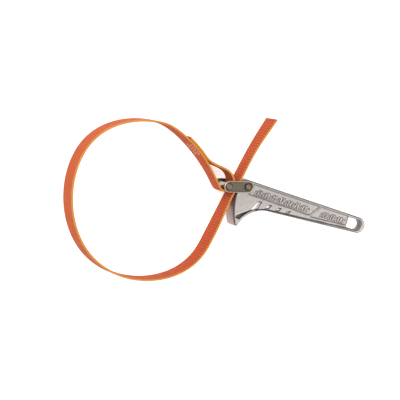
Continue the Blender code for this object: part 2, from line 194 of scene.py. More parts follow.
HANG_HOLE_CORNER = 0.0010
BORE_RADIUS = 0.0033
ON_WALL = 0.0002            # points nearer than this to an outline are on its side wall

# Link
LINK_PITCH = PIVOT[0] - STRAP_PIN[0]
PLATE_RADIUS = 0.00575
PLATE_THICKNESS = 0.0026
STRAP_PIN_RADIUS = 0.0032
PIVOT_PIN_RADIUS = 0.0030
PIVOT_SLOT_PLAY = 0.0016
PEENED_END = (              # share of the pin's radius, and drop in pin domes
    (0.15, 0.0), (0.45, 0.04), (0.62, 0.20), (0.70, 0.34), (0.78, 0.24), (0.90, 0.40),
    (0.97, 0.75), (1.0, 1.4),
)

# Stage
FLOOR_REACH = 3.0
FLOOR_GAP = 0.0002
SKY_STOPS = ((0.0, 0.22), (0.3, 0.35), (1.0, 1.0))      # height in the sky, brightness
CAMERA_TURN = 0.425         # from straight above the tool towards -X
CAMERA_RISE = 0.125         # and towards +Y
CAMERA_ROLL = radians(-3.8)
CAMERA_DISTANCE = 1.2
CAMERA_ASIDE = -0.0488      # of the view's middle from the pivot
CAMERA_UP = -0.0129


# ---------------------------------------------------------------- settings

def length(name, description, default):
    """A length that the user may change."""
    return bpy.props.FloatProperty(name=name, description=description, default=default,
                                   min=0.0, precision=5, subtype="DISTANCE", unit="LENGTH")


def colour(name, description, default):
    """A colour that the user may change, in linear light."""
    return bpy.props.FloatVectorProperty(name=name, description=description, default=default,
                                         min=0.0, max=1.0, size=3, subtype="COLOR")


def share(name, description, default):
    """A share from 0 to 1 that the user may change."""
    return bpy.props.FloatProperty(name=name, description=description, default=default,
                                   min=0.0, max=1.0, subtype="FACTOR")


def strength(name, description, default):
    """A number above 0 that the user may change."""
    return bpy.props.FloatProperty(name=name, description=description, default=default, min=0.0)


def power(name, description, default):
    """A lamp's power that the user may change."""
    return bpy.props.FloatProperty(name=name, description=description, default=default,
                                   min=0.0, subtype="POWER", unit="POWER")


class WebbingSettings(bpy.types.PropertyGroup):
    """Sizes and colours of the strap."""

    width: length("Width", "Width of the webbing", 0.0190)
    thickness: length("Thickness", "Thickness of the webbing", 0.0022)
    edge_radius: length("Edge Radius", "Rounding of the webbing's four long edges", 0.00055)
    edge_groove: length("Edge Groove", "Depth of the groove along each edge", 0.00026)
    rib_pitch: length("Rib Pitch", "Distance between the grip side's main ribs", 0.0030)
    rib_depth: length("Rib Depth", "Depth between the grip side's main ribs", 0.00026)
    weft_depth: length("Weft Depth", "Depth between the single weft threads", 0.00008)
    yarn_pitch: length("Yarn Pitch", "Distance between the lengthwise yarns", 0.0008)
    face: colour("Face", "Colour of both faces", (0.47, 0.080, 0.017))
    shadow: colour("Shadow", "Colour deep between the ribs", (0.30, 0.016, 0.004))
    edge: colour("Edge", "Colour of the long edges", (0.58, 0.262, 0.040))
    cut: colour("Cut End", "Colour of the sealed cut ends", (0.40, 0.014, 0.007))
    thread: colour("Thread", "Colour of the seam's thread", (0.82, 0.50, 0.38))
    sheen: share("Sheen", "Strength of the yarns' sheen", 0.10)


class CastingSettings(bpy.types.PropertyGroup):
    """Sizes and colours of the handle."""

    edge_radius: length("Edge Radius", "Rounding along the casting's outline", 0.0016)
    draft: length("Draft", "How far the side walls swell out to the parting line", 0.00035)
    rim: length("Rim", "Width of the rim above the panels", 0.0024)
    panel_depth: length("Panel Depth", "Depth of the sunk panels", 0.0008)
    bar_pitch: length("Bar Pitch", "Distance between the raised bars", 0.0031)
    bar_width: length("Bar Width", "Width of a raised bar", 0.0013)
    bar_height: length("Bar Height", "Height of a raised bar above its panel", 0.00066)
    groove_depth: length("Groove Depth", "Depth of the line inside the lower rim", 0.0010)
    pocket_depth: length("Pocket Depth", "Depth of the pocket beside the hollow curve", 0.0042)
    metal: colour("Metal", "Colour of the clean casting", (0.47, 0.43, 0.405))
    # Bright metal: rubbed crests, and painted highlights on them, the notch floors and the pocket's
    # edge.
    worn_and_highlit: colour("Worn And Highlit Edge", "Colour of the ridges that wear bright", (0.80, 0.77, 0.74))
    shade_and_grime: colour("Shade And Grime", "Colour in the casting's hollows", (0.045, 0.048, 0.055))
    # Painted shade: this dark colour is painted along the walls, grooves and pocket, and also
    # darkens the pits.
    rust: colour("Strap Stain", "Colour that the strap leaves on the sides", (0.36, 0.26, 0.24))
    roughness: share("Roughness", "Roughness of the casting's skin", 0.38)


class LinkSettings(bpy.types.PropertyGroup):
    """Sizes and colours of the link plates and pins."""

    plate_edge: length("Plate Edge", "Rounding of the plates' edges", 0.0005)
    rim: length("Rim", "Width of the plates' raised rim", 0.0009)
    recess: length("Recess", "Depth inside the plates' rim", 0.0004)
    pin_dome: length("Pin Dome", "Height of the rounding on the pins' ends", 0.0004)
    plate: colour("Plate", "Colour of the stamped plates", (0.155, 0.125, 0.098))
    # Bright plate edges: rubbed, and painted as a highlight along the rims.
    worn_and_highlit: colour("Worn And Highlit Edge", "Colour of the plates' polished edges", (0.86, 0.76, 0.58))
    pin: colour("Pin", "Colour of the pins", (0.20, 0.165, 0.13))
    shaft: colour("Shaft", "Colour of the pins between the plates", (0.72, 0.70, 0.68))
    # Painted shade round the pins and inside the rims.
    painted_shade: colour("Painted Shade", "Colour round the pins and inside the rims", (0.018, 0.015, 0.013))


class StageSettings(bpy.types.PropertyGroup):
    """Floor, light and camera."""

    floor: colour("Floor", "Colour of the floor", (0.93, 0.93, 0.93))
    glow: strength("Floor Glow", "Strength of the floor's own light", 0.45)
    lens: strength("Lens", "Focal length in millimetres", 108.0)
    key: power("Key Light", "Power of the large overhead light", 10.0)
    fill: power("Fill Light", "Power of the side light", 3.0)
    sky: strength("Sky", "Strength of the studio's surroundings", 1.15)


# ---------------------------------------------------------------- plan geometry

def direction(angle):
    """Unit vector at an angle from +X."""
    return np.array((cos(angle), sin(angle)))


def arc(centre, radius, start, end, steps):
    """Points on a circle."""
    turn = np.linspace(start, end, steps + 1)
    return centre + radius * np.stack((np.cos(turn), np.sin(turn)), axis=1)


def bowed(start, end, radius, steps):
    """Points of a shallow arc from start to end that bows to the right of the way."""
    chord = end - start
    reach = np.linalg.norm(chord)
    right = np.array((chord[1], -chord[0])) / reach
    middle = (start + end) / 2 - right * sqrt(radius ** 2 - (reach / 2) ** 2)
    first = atan2(*(start - middle)[::-1])
    last = atan2(*(end - middle)[::-1])
    last += 2 * pi * round((first - last) / (2 * pi))
    return arc(middle, radius, first, last, steps)


def strand(start, heading, end, end_heading, reach=STRAND_REACH):
    """A smooth strand between two points with given headings."""
    span = np.linalg.norm(end - start)
    knots = (start, start + heading * span * reach, end - end_heading * span * STRAND_REACH, end)
    flat = interpolate_bezier(*(Vector((*knot, 0.0)) for knot in knots), ROUTE_STEPS)
    return np.array([point[:2] for point in flat])


def travelled(route):
    """Distance along a route at each of its points."""
    steps = np.linalg.norm(np.diff(route, axis=0), axis=1)
    return np.concatenate(((0.0,), np.cumsum(steps)))


def headings(route):
    """Unit heading at each point of a route."""
    ways = np.gradient(route, axis=0)
    return ways / np.linalg.norm(ways, axis=1, keepdims=True)


def leftward(ways):
    """Vectors turned a quarter to the left."""
    return np.stack((-ways[..., 1], ways[..., 0]), axis=-1)


def at_distances(route, distances):
    """Points of a route at given distances along it."""
    along = travelled(route)
    return np.stack([np.interp(distances, along, route[:, axis]) for axis in (0, 1)], axis=1)


def rounded(corners, radius, steps=5):
    """A closed outline with its corners rounded."""
    corners = np.asarray(corners, float)
    made = []
    for before, corner, after in zip(np.roll(corners, 1, 0), corners, np.roll(corners, -1, 0)):
        first = before - corner
        second = after - corner
        reach = min(radius, np.linalg.norm(first) / 2, np.linalg.norm(second) / 2)
        start = corner + first / np.linalg.norm(first) * reach
        end = corner + second / np.linalg.norm(second) * reach
        for t in np.linspace(0.0, 1.0, steps + 1):
            made.append(start * (1 - t) ** 2 + 2 * corner * t * (1 - t) + end * t ** 2)
    return np.array(made)


def spaced(outline, spacing):
    """A closed outline with evenly spaced points."""
    closed = np.vstack((outline, outline[:1]))
    total = travelled(closed)[-1]
    count = max(8, round(total / spacing))
    return at_distances(closed, np.arange(count) * total / count)


def inset(outline, by):
    """A closed anticlockwise outline moved inwards, or outwards by a negative distance."""
    ways = np.roll(outline, -1, 0) - np.roll(outline, 1, 0)
    ways /= np.maximum(np.linalg.norm(ways, axis=1, keepdims=True), 1e-9)
    return outline + leftward(ways) * by


def anticlockwise(outline):
    """The same outline, turned round if it runs clockwise."""
    x, y = np.asarray(outline, float).T
    area = np.sum(x * np.roll(y, -1) - np.roll(x, -1) * y)
    return np.asarray(outline, float)[::1 if area > 0 else -1]


def line_distance(points, line, closed=False):
    """Distance from each point to a line of corners."""
    ends = np.roll(line, -1, 0) if closed else line[1:]
    starts = line if closed else line[:-1]
    nearest = np.full(len(points), np.inf)
    for start, end in zip(starts, ends):
        way = end - start
        share_along = ((points - start) @ way / max(way @ way, 1e-18)).clip(0, 1)
        gap = points - start - share_along[:, None] * way
        nearest = np.minimum(nearest, np.hypot(gap[:, 0], gap[:, 1]))
    return nearest


def inside(points, outline):
    """Whether each point lies inside a closed outline."""
    within = np.zeros(len(points), bool)
    x, y = points.T
    for (ax, ay), (bx, by) in zip(outline, np.roll(outline, -1, 0)):
        if ay != by:
            crosses = (ay > y) != (by > y)
            within ^= crosses & (x < ax + (bx - ax) * (y - ay) / (by - ay))
    return within


def depth_inside(points, outline):
    """Distance from each point to an outline, counted positive inside it."""
    gap = line_distance(points, outline, closed=True)
    return np.where(inside(points, outline), gap, -gap)


def echoes(outline, offsets, spacing):
    """Copies of a closed outline, moved inwards by each offset, with evenly spaced points."""
    return [spaced(inset(outline, by), spacing) for by in offsets]


def ramp(values):
    """A smooth step from 0 to 1."""
    share_along = values.clip(0, 1)
    return share_along * share_along * (3 - 2 * share_along)


def band(gap, at, width):
    """A soft band from 0 to 1 that is full where the gap has one value."""
    return np.exp(-((gap - at) / width) ** 2)


def rounding(gap, radius):
    """How far a rounded edge lies below the flat, at a gap from the outline."""
    short = (1 - gap / radius).clip(0, 1)
    return radius * (1 - np.sqrt(1 - short ** 2))


# ---------------------------------------------------------------- meshes

def new_piece(name, points, faces, material, sharp=None):
    """A smooth-shaded mesh object in the row frame."""
    mesh = bpy.data.meshes.new(name)
    mesh.from_pydata([tuple(p) for p in points], [], [tuple(int(i) for i in f) for f in faces])
    mesh.validate()
    mesh.shade_smooth()
    if sharp is not None:
        mesh.set_sharp_from_angle(angle=sharp)
    mesh.materials.append(material)
    piece = bpy.data.objects.new(name, mesh)
    bpy.context.scene.collection.objects.link(piece)
    return piece


def paint_points(piece, **layers):
    """Named numbers at each point, for the material to read."""
    for name, values in layers.items():
        layer = piece.data.attributes.new(name, "FLOAT", "POINT")
        layer.data.foreach_set("value", np.asarray(values, np.float32))


def grid_faces(rows, columns, closed=True):
    """Faces of a grid of points, row after row, each row a ring if closed."""
    made = []
    last = columns if closed else columns - 1
    for row in range(rows - 1):
        for column in range(last):
            after = (column + 1) % columns
            made.append((row * columns + column, row * columns + after,
                         (row + 1) * columns + after, (row + 1) * columns + column))
    return made


def free_points(loops, features, spacing):
    """A staggered field of points and the features' own, inside the outline and off the holes."""
    low, high = loops[0].min(0), loops[0].max(0)
    across = np.arange(low[0], high[0], spacing)
    upward = np.arange(low[1], high[1], spacing)
    field = np.array([(x + (i % 2) * spacing / 2, y) for i, y in enumerate(upward) for x in across])
    loose = np.vstack([field] + features)
    keep = depth_inside(loose, loops[0]) > spacing / 8
    for hole in loops[1:]:
        keep &= depth_inside(loose, hole) < -spacing / 8
    loose = loose[keep]
    cells = np.round(loose / (spacing / 6)).astype(int)
    return loose[np.sort(np.unique(cells, axis=0, return_index=True)[1])]


def triangulated(loops, loose):
    """Plan points, triangles between them, and which plan point each point of the loops became."""
    edges, first = [], 0
    for loop in loops:
        edges += [(first + i, first + (i + 1) % len(loop)) for i in range(len(loop))]
        first += len(loop)
    given = [Vector(point) for point in np.vstack((*loops, loose))]
    made, _, triangles, origins, _, _ = delaunay_2d_cdt(given, edges, [], 0, 1e-9)
    plan = np.array([point[:] for point in made])
    corners = np.array([t for t in triangles if len(t) == 3])
    centres = plan[corners].mean(1)
    solid = inside(centres, loops[0])
    for hole in loops[1:]:
        solid &= ~inside(centres, hole)
    place = {source: index for index, sources in enumerate(origins) for source in sources}
    return plan, corners[solid], place


def relief_body(outline, holes, features, height, levels, spacing):
    """Points and faces of a flat body with a relief on both sides, and how many lie on one side.

    The relief is a function of the plan: height(points) gives the front. Rings follow each
    feature, so that its walls are crisp. Levels are shares of the side wall from front to back.
    """
    loops = [anticlockwise(outline)] + [anticlockwise(hole) for hole in holes]
    plan, corners, place = triangulated(loops, free_points(loops, features, spacing))
    top = height(plan)
    count = len(plan)
    points = [np.column_stack((plan, top)), np.column_stack((plan, -top))]
    faces = [tuple(t) for t in corners] + [tuple(count + i for i in t[::-1]) for t in corners]
    total, first = 2 * count, 0
    for number, loop in enumerate(loops):
        rim = [place[first + i] for i in range(len(loop))]
        first += len(loop)
        rings = [rim]
        for level in levels:
            points.append(np.column_stack((plan[rim], top[rim] * (1 - 2 * level))))
            rings.append(list(range(total, total + len(rim))))
            total += len(rim)
        rings.append([count + i for i in rim])
        for upper, lower in zip(rings, rings[1:]):
            for i in range(len(rim)):
                j = (i + 1) % len(rim)
                quad = (upper[i], lower[i], lower[j], upper[j])
                faces.append(quad if number == 0 else quad[::-1])
    return np.vstack(points), faces, count


def turned(profile, steps):
    """Points and faces of a closed body of revolution about Z, from (radius, z) pairs."""
    turn = np.arange(steps) * 2 * pi / steps
    rings = [np.column_stack((radius * np.cos(turn), radius * np.sin(turn), np.full(steps, z)))
             for radius, z in profile]
    faces = grid_faces(len(rings), steps)
    faces += [tuple(range(steps))[::-1]]
    faces += [tuple((len(rings) - 1) * steps + i for i in range(steps))]
    return np.vstack(rings), faces


# ---------------------------------------------------------------- shader nodes

def joined(operation):
    """An operator of two values as a Math node, and its reflected form."""
    def maths(term, first, second):
        return term.paint.node("ShaderNodeMath", {"operation": operation}, {0: first, 1: second})

    return (lambda term, other: maths(term, term, other),
            lambda term, other: maths(term, other, term))


class Term:
    """A socket's value, so that shader maths reads as sums."""

    def __init__(self, paint, socket):
        self.paint, self.socket = paint, socket

    __add__, __radd__ = joined("ADD")
    __sub__, __rsub__ = joined("SUBTRACT")
    __mul__, __rmul__ = joined("MULTIPLY")
    __pow__, __rpow__ = joined("POWER")


def fill_ramp(strip, stops):
    """Give a colour ramp its stops, as (position, grey) pairs in order."""
    while len(strip.elements) < len(stops):
        strip.elements.new(0.5)
    for element, (position, grey) in zip(strip.elements, stops):
        element.position = position
        element.color = (grey, grey, grey, 1.0)


class Paint:
    """A material with a node tree in the making."""

    def __init__(self, name, roughness=0.5, metallic=0.0):
        self.material = bpy.data.materials.new(name)
        self.material.use_nodes = True
        self.tree = self.material.node_tree
        self.shader = self.tree.nodes["Principled BSDF"]
        self.shader.inputs["Roughness"].default_value = roughness
        self.shader.inputs["Metallic"].default_value = metallic

    def node(self, kind, settings, sockets, output=0):
        """A node with its settings made first, then its sockets given values or links."""
        made = self.tree.nodes.new(kind)
        for name, value in settings.items():
            if name == "stops":
                fill_ramp(made.color_ramp, value)
            else:
                setattr(made, name, value)
        for name, value in sockets.items():
            self.plug(made.inputs[name], value)
        return Term(self, made.outputs[output])

    def plug(self, socket, value):
        """Link a term to a socket, or set the socket's own value."""
        if isinstance(value, Term):
            self.tree.links.new(value.socket, socket)
        elif socket.type == "RGBA":
            socket.default_value = (*value, 1.0)
        else:
            socket.default_value = value

    def set(self, **sockets):
        """Set or link the shader's sockets, named with underscores."""
        for name, value in sockets.items():
            self.plug(self.shader.inputs[name.replace("_", " ")], value)

    def mixed(self, amount, first, second):
        """Two colours, mixed by an amount from 0 to 1."""
        return self.node("ShaderNodeMix", {"data_type": "RGBA"},
                         {0: amount, 6: first, 7: second}, 2)

    def scaled(self, shade, amount):
        """A colour, made darker or lighter all over."""
        return self.node("ShaderNodeVectorMath", {"operation": "SCALE"},
                         {0: shade, "Scale": amount})

    def point_value(self, name):
        """A number that the mesh keeps at each of its points."""
        return self.node("ShaderNodeAttribute", {"attribute_name": name}, {}, "Fac")

    def place(self):
        """Position on the piece, in metres."""
        return self.node("ShaderNodeTexCoord", {}, {}, "Object")

    def noise(self, place, scale, detail=3.0, rough=0.55):
        """Cloudy variation from 0 to 1, at so many waves a metre."""
        return self.node("ShaderNodeTexNoise", {},
                         {"Vector": place, "Scale": scale, "Detail": detail, "Roughness": rough})

    def stretched(self, place, factors):
        """A position stretched along each axis."""
        return self.node("ShaderNodeVectorMath", {"operation": "MULTIPLY"}, {0: place, 1: factors})

    def stepped(self, value, stops):
        """A number passed through a ramp of (position, value) stops."""
        return self.node("ShaderNodeValToRGB", {"stops": stops}, {"Fac": value})

    def wave(self, value, pitch):
        """A wave from 0 to 1 with a given pitch."""
        turn = value * (2 * pi / pitch)
        return self.node("ShaderNodeMath", {"operation": "SINE"}, {0: turn}) * 0.5 + 0.5

    def bump(self, height, distance):
        """A normal from a height of 0 to 1, that high in metres."""
        return self.node("ShaderNodeBump", {},
                         {"Height": height, "Distance": distance, "Strength": 1.0})


def webbing_material(look):
    """Woven webbing: lengthwise yarns under transverse threads, amber edges, sealed red ends."""
    paint = Paint("webbing", 0.8)
    chart = paint.node("ShaderNodeUVMap", {"uv_map": "weave"}, {})
    along = paint.node("ShaderNodeSeparateXYZ", {}, {0: chart}, "X")
    across = paint.node("ShaderNodeSeparateXYZ", {}, {0: chart}, "Y")
    hollow = paint.point_value("hollow")
    edge = paint.point_value("edge")
    sealed = paint.point_value("sealed")
    blotch = paint.noise(chart, 90.0, 4.0)
    fibres = paint.noise(paint.stretched(chart, (900.0, 6000.0, 1.0)), 1.0, 2.0)
    yarn = paint.wave(across, look.yarn_pitch)
    twill = paint.wave(along + across * 0.5, look.rib_pitch / 4)
    tint = paint.scaled(look.face, 0.86 + blotch * 0.18 + fibres * 0.14)
    tint = paint.mixed(hollow ** 2.0 * 0.70, tint, look.shadow)
    tint = paint.mixed((1 - yarn) * 0.14, tint, look.shadow)
    amber = paint.scaled(look.edge, 0.80 + fibres * 0.30 + blotch * 0.12)
    amber = paint.mixed(hollow * 0.55, amber, look.face)
    tint = paint.mixed(edge, tint, amber)
    tint = paint.mixed(sealed, tint, look.cut)
    paint.set(Base_Color=tint, Roughness=0.74 + fibres * 0.16 - edge * 0.08,
              Sheen_Weight=look.sheen, Sheen_Roughness=0.45, Sheen_Tint=(1.0, 0.62, 0.42),
              Specular_IOR_Level=0.22,
              Normal=paint.bump(yarn * 0.5 + twill * 0.3 + fibres * 0.2, 0.00012))
    return paint.material


def thread_material(look):
    """Pale twisted sewing thread."""
    paint = Paint("seam_thread", 0.6)
    place = paint.place()
    lay = paint.noise(paint.stretched(place, (1.0, 2.4, 1.0)), 2600.0, 2.0)
    paint.set(Base_Color=paint.scaled(look.thread, 0.8 + lay * 0.35), Roughness=0.5 + lay * 0.25,
              Sheen_Weight=0.3, Normal=paint.bump(lay, 0.00008))
    return paint.material


def casting_material(look):
    """Tumbled aluminium: mottled skin, painted shade in the hollows, rubbed and highlit ridges,
    stained sides.
    """
    paint = Paint("cast_aluminium", look.roughness, 1.0)
    place = paint.place()
    hollow = paint.point_value("hollow")
    ridge = paint.point_value("ridge")
    side = paint.point_value("side")
    mottle = paint.noise(place, 300.0, 5.0, 0.62)
    grain = paint.noise(place, 1500.0, 3.0, 0.6)
    patches = paint.noise(place, 60.0, 2.0)
    pits = paint.stepped(paint.noise(place, 700.0, 2.0, 0.5), ((0.30, 1.0), (0.42, 0.0)))
    drawn = paint.noise(paint.stretched(place, (2200.0, 320.0, 120.0)), 1.0, 3.0)
    tint = paint.scaled(look.metal, 0.62 + mottle * 0.46 + patches * 0.26)
    tint = paint.mixed(pits * 0.30, tint, look.shade_and_grime)
    tint = paint.mixed(side * (0.25 + drawn * 0.75), tint, look.rust)
    # Bright metal: rubbed crests with painted highlights, and painted highlights on the notch
    # floors.
    tint = paint.mixed(ridge * (0.25 + mottle * 0.7), tint, look.worn_and_highlit)
    # Painted shade in the hollows, along the walls and round the bars.
    tint = paint.mixed(hollow * (0.70 + mottle * 0.4), tint, look.shade_and_grime)
    rough = look.roughness - 0.10 + mottle * 0.24 - ridge * 0.08 + hollow * 0.2
    paint.set(Base_Color=tint, Roughness=rough,
              Normal=paint.bump(grain * 0.45 + mottle * 0.55 - pits * 0.4, 0.00012))
    return paint.material


def steel_material(name, skin, gleaming, look, roughness, streak):
    """Stamped or turned steel: fine streaks, brown staining, bright edges, painted shade in the
    corners.
    """
    paint = Paint(name, roughness, 1.0)
    place = paint.place()
    ridge = paint.point_value("ridge")
    hollow = paint.point_value("hollow")
    streaks = paint.noise(paint.stretched(place, streak), 1.0, 3.0)
    stain = paint.noise(place, 420.0, 4.0, 0.6)
    tint = paint.scaled(skin, 0.58 + streaks * 0.50 + stain * 0.36)
    # Bright edges: on the plates rubbed, with a painted highlight; on the pins the shaft's own
    # colour.
    tint = paint.mixed(ridge * (0.50 + stain * 0.5), tint, gleaming)
    # Painted shade in the corners and round the pins.
    tint = paint.mixed(hollow * 0.9, tint, look.painted_shade)
    paint.set(Base_Color=tint, Roughness=roughness - 0.08 + stain * 0.22 - ridge * 0.10,
              Normal=paint.bump(streaks * 0.6 + stain * 0.4, 0.00006))
    return paint.material


def floor_material(look):
    """Pale matt studio floor with a faint unevenness."""
    paint = Paint("studio_floor", 0.9)
    cloud = paint.noise(paint.place(), 3.0, 3.0)
    paint.set(Base_Color=paint.scaled(look.floor, 0.99 + cloud * 0.02),
              Roughness=0.85 + cloud * 0.1,
              Emission_Color=(1.0, 1.0, 1.0), Emission_Strength=look.glow)
    return paint.material


# ---------------------------------------------------------------- strap

def loop_lie(normal):
    """How far the loop lies outside its oval, and how fast that changes with the normal."""
    out = sum(c * cos(n * normal) + s * sin(n * normal) for n, c, s in LOOP_LIE)
    change = sum(n * (s * cos(n * normal) - c * sin(n * normal)) for n, c, s in LOOP_LIE)
    return out, change


def loop_point(normal):
    """Point of the loop's middle line whose outward normal has this angle."""
    long, short = LOOP_LONG / 2 - HALF_STRAP, LOOP_SHORT / 2 - HALF_STRAP

    def reach(angle):
        return sqrt((long * cos(angle - LOOP_TILT)) ** 2 + (short * sin(angle - LOOP_TILT)) ** 2)

    span = reach(-RUN_LEAN) + loop_lie(-RUN_LEAN)[0]
    centre = THROAT - RUN_UP * LOOP_BELOW_THROAT - RUN_SIDE * span
    turn = normal - LOOP_TILT
    along = direction(LOOP_TILT) * (long ** 2 * cos(turn) / reach(normal))
    across = direction(LOOP_TILT + pi / 2) * (short ** 2 * sin(turn) / reach(normal))
    out, change = loop_lie(normal)
    lie = direction(normal) * out + direction(normal + pi / 2) * change
    return centre + along + across + lie


def loop_route(start, end):
    """The loop's middle line between two outward normals."""
    return np.array([loop_point(angle) for angle in np.linspace(start, end, ROUTE_STEPS)])


def eye_centre():
    """The strap pin sits in the round end of the eye, on the side away from the pull."""
    seat = EYE_RADIUS - STRAP_PIN_RADIUS - TOUCH_GAP
    return STRAP_PIN + direction(EYE_PULL) * seat


def main_strand():
    """The strap's middle line from the oval down to the eye's round end."""
    entry = eye_centre() + (EYE_RADIUS + HALF_STRAP) * direction(EYE_ENTRY)
    return strand(loop_point(LAP_NORMAL), direction(LAP_NORMAL - pi / 2), entry,
                  direction(EYE_ENTRY + pi / 2), LAP_REACH)


def sewn_route():
    """From the cut end, down the lap, round the pin, and round the loop to its bottom."""
    radius = EYE_RADIUS + HALF_STRAP
    main = main_strand()
    ways = headings(main)
    along = travelled(main)
    sewn = (along >= LAP_START) & (along <= LAP_START + LAP_LENGTH)
    lap = (main + leftward(ways) * (2 * HALF_STRAP + TOUCH_GAP))[sewn]
    leave = eye_centre() + radius * direction(EYE_EXIT)
    back = strand(lap[-1], ways[sewn][-1], leave, -direction(EYE_EXIT + pi / 2))
    bottom = arc(eye_centre(), radius, EYE_EXIT, EYE_ENTRY, ROUTE_STEPS)
    loop = loop_route(LAP_NORMAL, LOOP_BOTTOM)
    return np.vstack((lap, back[1:], bottom[1:], main[::-1][1:], loop[1:]))


def free_route():
    """From the bottom of the loop, up the run and through the throat to the tail's tip."""
    bend = loop_route(LOOP_BOTTOM, 2 * pi - RUN_LEAN)
    high = THROAT + RUN_UP * TAIL_STRAIGHT
    run = bend[-1] + np.linspace(0.0, 1.0, ROUTE_STEPS)[:, None] * (high - bend[-1])
    curl_radius = (TAIL_LENGTH - TAIL_STRAIGHT) / TAIL_CURL
    start = pi - RUN_LEAN
    curl = arc(high + RUN_SIDE * curl_radius, curl_radius, start, start - TAIL_CURL, ROUTE_STEPS)
    return np.vstack((bend, run[1:], curl[1:]))


def lean(plan):
    """How far the webbing leans to +X towards its front edge, per metre of its width."""
    gap = line_distance(plan, np.array((STRAP_PIN, PIVOT)))
    up, side = (plan - THROAT) @ RUN_UP, (plan - THROAT) @ RUN_SIDE
    tail = (up > 0) & (np.abs(side) < SKEW_START)
    start = np.where(tail, TAIL_SKEW_START, SKEW_START)
    end = np.where(tail, TAIL_LENGTH, SKEW_END)
    return SKEW * ramp((gap - start) / (end - start))


def webbing_section(look):
    """The webbing's outline: rows of the place across it, the height off its middle, and 1 on
    the long edges."""
    half, out = look.width / 2, look.thickness / 2
    bend = look.edge_radius
    face = np.linspace(-(half - bend), half - bend, 9)
    corner = np.linspace(pi / 2, 0.0, 4)[1:]
    rows = [(w, out, 0.0) for w in face]
    rows += [(half - bend + bend * cos(t), out - bend + bend * sin(t), 1.0) for t in corner]
    groove_at = (out - bend) / 2
    rows += [(half - look.edge_groove * 0.4, groove_at, 1.0), (half - look.edge_groove, 0.0, 1.0)]
    rows += [(w, -h, e) for w, h, e in rows[:-1][::-1] if w > 0 and e]
    rows += [(w, -out, 0.0) for w in face[::-1]]
    rows += [(-w, h, e) for w, h, e in rows[9:-9][::-1]]
    return np.array(rows)


def at_ends(count, closed_start, closed_end, plain, values):
    """A value for each ring of a strip: plain, but with given values from a closed end inwards."""
    made = np.full(count, plain)
    if closed_start:
        made[:len(values)] = values
    if closed_end:
        made[-len(values):] = values[::-1]
    return made


def webbing_strip(name, route, from_end, closed_start, closed_end, look, material):
    """A stretch of webbing with ribs on its left side, and its ends sealed where cut.

    Rings are spaced from the start, or from the end, so that two stretches meet on a rib.
    """
    total = travelled(route)[-1]
    step = look.rib_pitch / RINGS_PER_RIB
    way = np.append(np.arange(0.0, total - step / 2, step), total)
    distances = total - way[::-1] if from_end else way
    along = distances - total if from_end else distances
    middle = at_distances(route, distances)
    sides = leftward(headings(middle))
    across, out, edge = webbing_section(look).T
    main, weft = (0.5 + 0.5 * np.cos(waves * 2 * pi * along / look.rib_pitch)[:, None]
                  for waves in (1, 2))
    ribbed = main * look.rib_depth + weft * look.weft_depth
    sunk = np.where(out > 0, ribbed, weft * look.weft_depth * 0.7)
    widths = across * (1 - edge * weft * look.weft_depth / look.width * 2)
    thinned = at_ends(len(way), closed_start, closed_end, 1.0, (0.80, 0.96))[:, None]
    widths *= (0.5 + thinned / 2) ** 0.12
    heights = (out - np.sign(out) * sunk * (np.abs(out) / (look.thickness / 2))) * thinned
    points = np.empty((*heights.shape, 3))
    points[..., :2] = middle[:, None, :] + sides[:, None, :] * heights[..., None]
    points[..., 2] = MID_Z + widths
    points[..., 0] += lean(middle)[:, None] * (widths + look.width / 2)
    rows, columns = heights.shape
    faces = grid_faces(rows, columns)
    if closed_start:
        faces.append(tuple(range(columns))[::-1])
    if closed_end:
        faces.append(tuple((rows - 1) * columns + i for i in range(columns)))
    piece = new_piece(name, points.reshape(-1, 3), faces, material)
    sealed = at_ends(rows, closed_start, closed_end, 0.0, (1.0, 1.0, 0.5))
    paint_points(piece,
                 hollow=(sunk / (look.rib_depth + look.weft_depth) + edge * weft * 0.5).ravel(),
                 edge=np.tile(edge, rows), sealed=np.repeat(sealed, columns))
    chart = np.stack(np.broadcast_arrays(along[:, None], across), -1)
    lay_chart(piece, chart.reshape(-1, 2))
    return piece


def lay_chart(piece, chart):
    """Give a piece a UV map from a value at each of its points."""
    layer = piece.data.uv_layers.new(name="weave")
    corners = np.zeros(len(piece.data.loops), int)
    piece.data.loops.foreach_get("vertex_index", corners)
    layer.data.foreach_set("uv", chart[corners].astype(np.float32).ravel())


class StrapOperator(bpy.types.Operator):
    """Build the sewn loop and the free end of the webbing"""

    bl_idname = "strap_wrench.strap"
    bl_label = "Build Strap"

    def execute(self, context):
        look = context.scene.strap_wrench_webbing
        cloth = webbing_material(look)
        loop = webbing_strip("sewn_loop", sewn_route(), True, True, False, look, cloth)
        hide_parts("strap_eye", "strap_loop")
        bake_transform(loop)
        free = webbing_strip("free_end", free_route(), False, False, True, look, cloth)
        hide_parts("strap_free_end")
        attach(free, "free_end")
        return {"FINISHED"}


